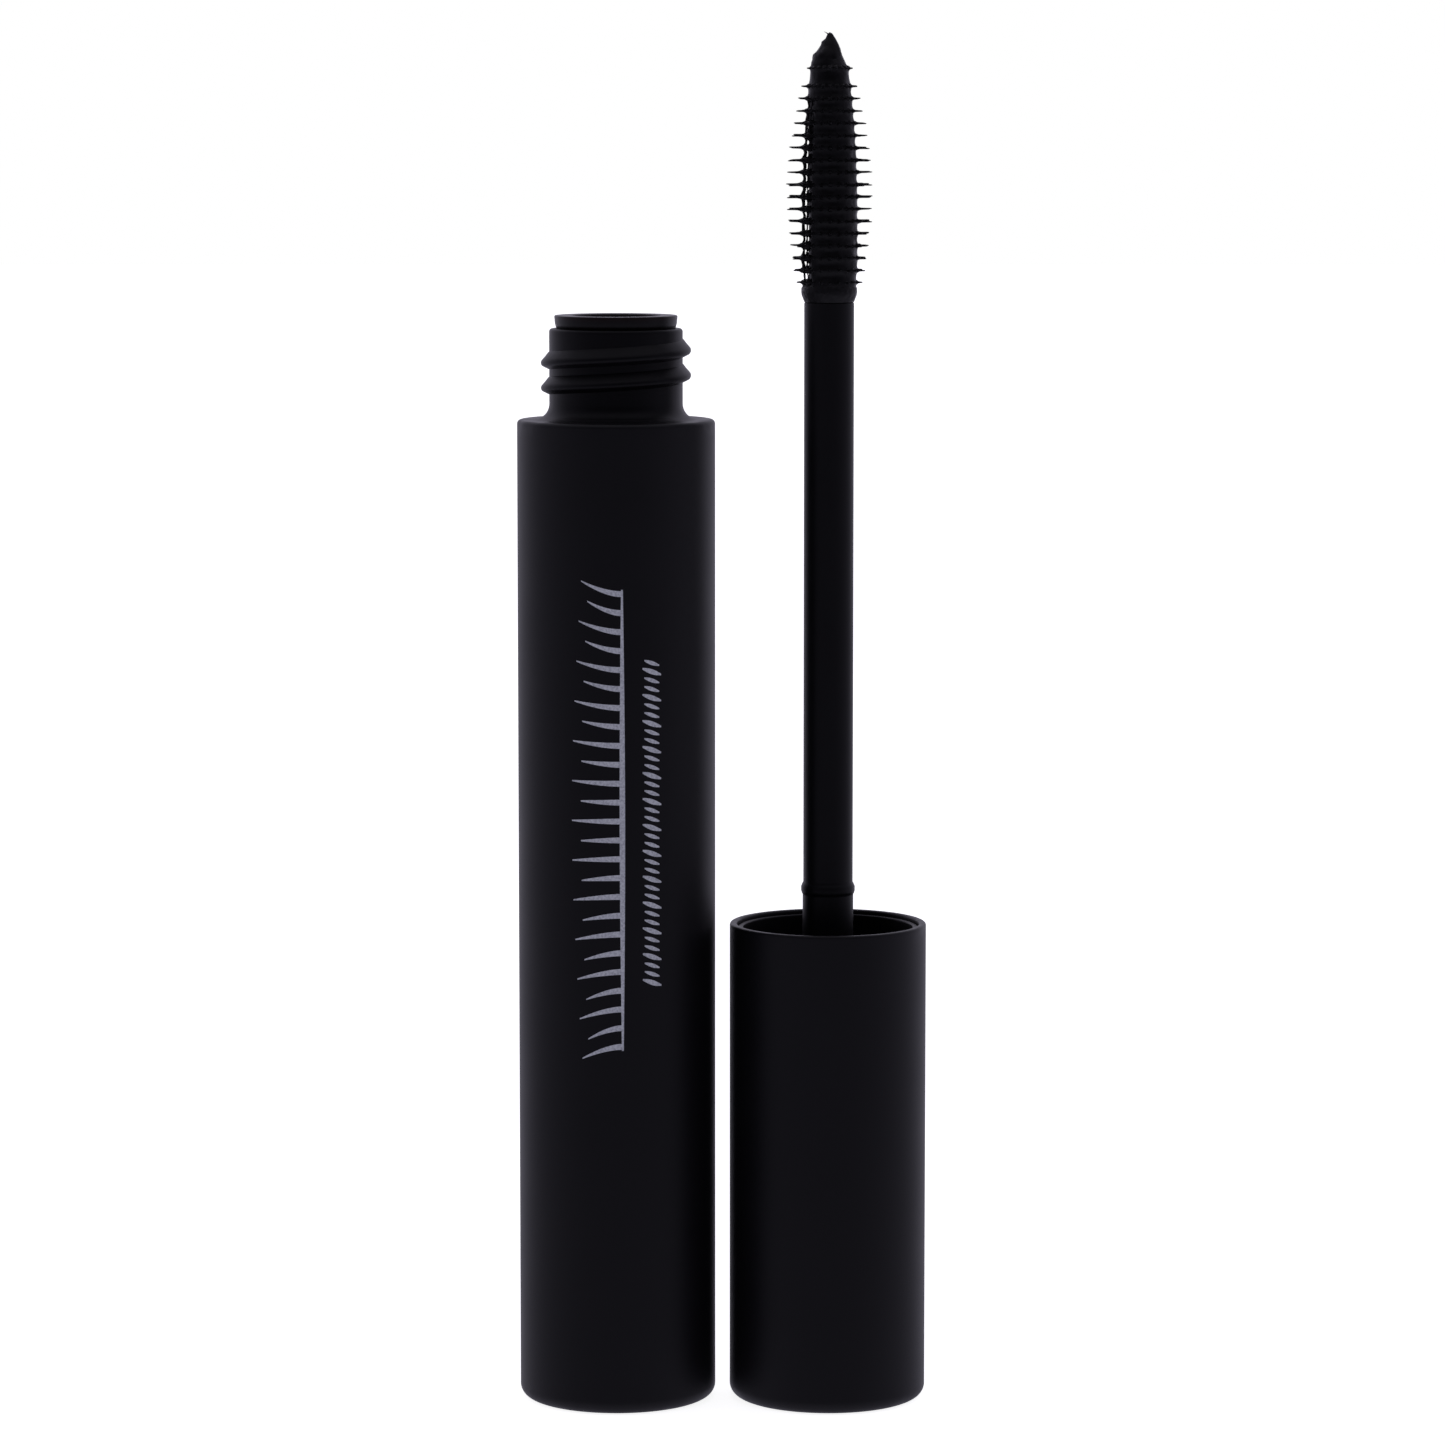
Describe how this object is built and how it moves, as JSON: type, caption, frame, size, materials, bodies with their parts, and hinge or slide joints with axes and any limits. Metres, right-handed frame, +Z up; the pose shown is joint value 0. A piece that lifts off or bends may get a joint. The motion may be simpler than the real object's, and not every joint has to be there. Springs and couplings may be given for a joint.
{
  "type": "mascara tube",
  "caption": "Open mascara: upright round black bottle with threaded neck and wiper, and beside it the capped rod with a ringed brush, standing on its cap.",
  "frame": {"origin": "centre of the footprint of the bottle and the applicator side by side, on the surface they stand on", "axes": "+Z up along the bottle and the rod, +X from the bottle to the applicator, +Y away from the printed side"},
  "size_m": [0.0394, 0.019, 0.1321],
  "materials": {
    "soft_touch_black": "soft-touch lacquer over moulded plastic",
    "moulded_black": "bare moulded plastic, satin to gloss",
    "wiper_black": "soft smooth moulded wiper",
    "paste_black": "wet thick paste",
    "label_film": "blank satin film",
    "seal_grey": "fine closed foam",
    "brush_black": "moulded elastomer coated with dried paste",
    "print_grey": "thin screen-printed ink"
  },
  "bodies": {
    "bottle": {"bottle": "soft_touch_black", "base_label": "label_film", "wiper": "wiper_black", "mascara_paste": "paste_black"},
    "seal": {"cap_seal": "seal_grey"},
    "applicator": {"outer_cap": "soft_touch_black", "inner_cap": "moulded_black", "rod": "moulded_black", "brush": "brush_black"}
  },
  "joints": [
    {"name": "applicator_lift", "type": "slide", "parent": "bottle", "child": "seal", "axis": [0, 0, 1], "range_m": [0, 0.115]},
    {"name": "applicator_twist", "type": "hinge", "parent": "seal", "child": "applicator", "pos_m": [0.0102, 0, 0], "axis": [0, 0, 1], "continuous": true}
  ]
}
